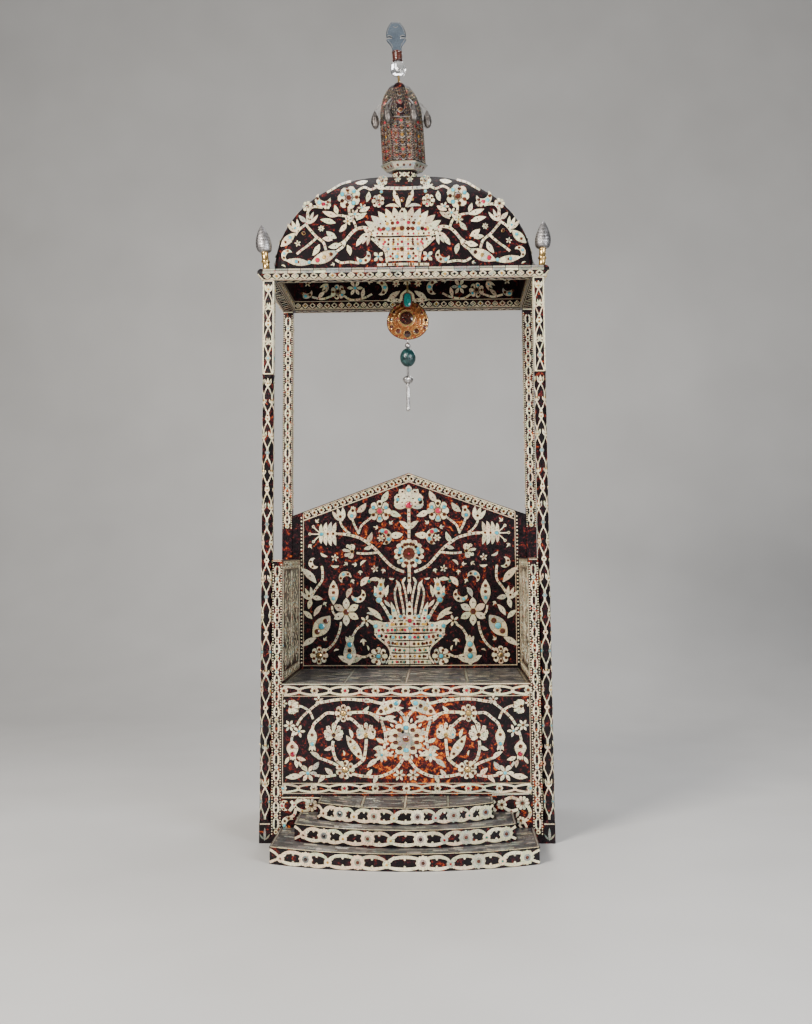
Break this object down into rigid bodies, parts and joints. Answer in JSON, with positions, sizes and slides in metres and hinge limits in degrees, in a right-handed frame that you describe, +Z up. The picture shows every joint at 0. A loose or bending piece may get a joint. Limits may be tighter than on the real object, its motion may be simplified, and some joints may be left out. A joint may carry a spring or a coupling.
{
  "type": "throne",
  "caption": "Canopied ceremonial throne with inlaid posts, boxed seat, gabled back, domed canopy with a lantern, hanging jewelled pendant and bowed front steps",
  "frame": {"origin": "centre of the bounding box in plan, at floor level", "axes": "+Z up, -Y towards the front steps, +X to the right seen from the front"},
  "size_m": [1.3873, 1.2182, 3.9762],
  "materials": {
    "veneer": "polished",
    "pearl": "polished",
    "gold": "polished",
    "silver": "satin",
    "crystal": "polished",
    "emerald": "polished",
    "horn": "polished",
    "jade": "polished"
  },
  "bodies": {
    "root": {"arm_post_left": "veneer", "arm_post_right": "veneer", "back_panel": "veneer", "cornice_front": "veneer", "cornice_left": "veneer", "cornice_rear": "veneer", "cornice_right": "veneer", "dome": "veneer", "finial_bud_front_left": "silver", "finial_bud_front_right": "silver", "finial_bud_rear_left": "silver", "finial_bud_rear_right": "silver", "finial_collar": "horn", "finial_crystal": "crystal", "finial_emblem": "silver", "finial_socket_front_left": "gold", "finial_socket_front_right": "gold", "finial_socket_rear_left": "gold", "finial_socket_rear_right": "gold", "finial_stem": "gold", "front_panel": "veneer", "lantern_cap": "veneer", "lantern_drum": "veneer", "lantern_ear_1": "silver", "lantern_ear_2": "silver", "lantern_ear_3": "silver", "lantern_ear_4": "silver", "lantern_ear_5": "silver", "lantern_ear_6": "silver", "lantern_neck": "veneer", "lantern_plate": "pearl", "pendant_ball": "jade", "pendant_bead": "silver", "pendant_disc": "gold", "pendant_drop": "silver", "pendant_emerald": "emerald", "pendant_link": "silver", "pendant_rod": "gold", "pendant_tassel": "silver", "plinth_front": "veneer", "plinth_left": "veneer", "plinth_right": "veneer", "post_front_left": "veneer", "post_front_right": "veneer", "post_rear_left": "veneer", "post_rear_right": "veneer", "seat_board": "pearl", "side_panel_left": "veneer", "side_panel_right": "veneer", "step_lower": "veneer", "step_middle": "veneer", "step_upper": "veneer"}
  },
  "joints": []
}
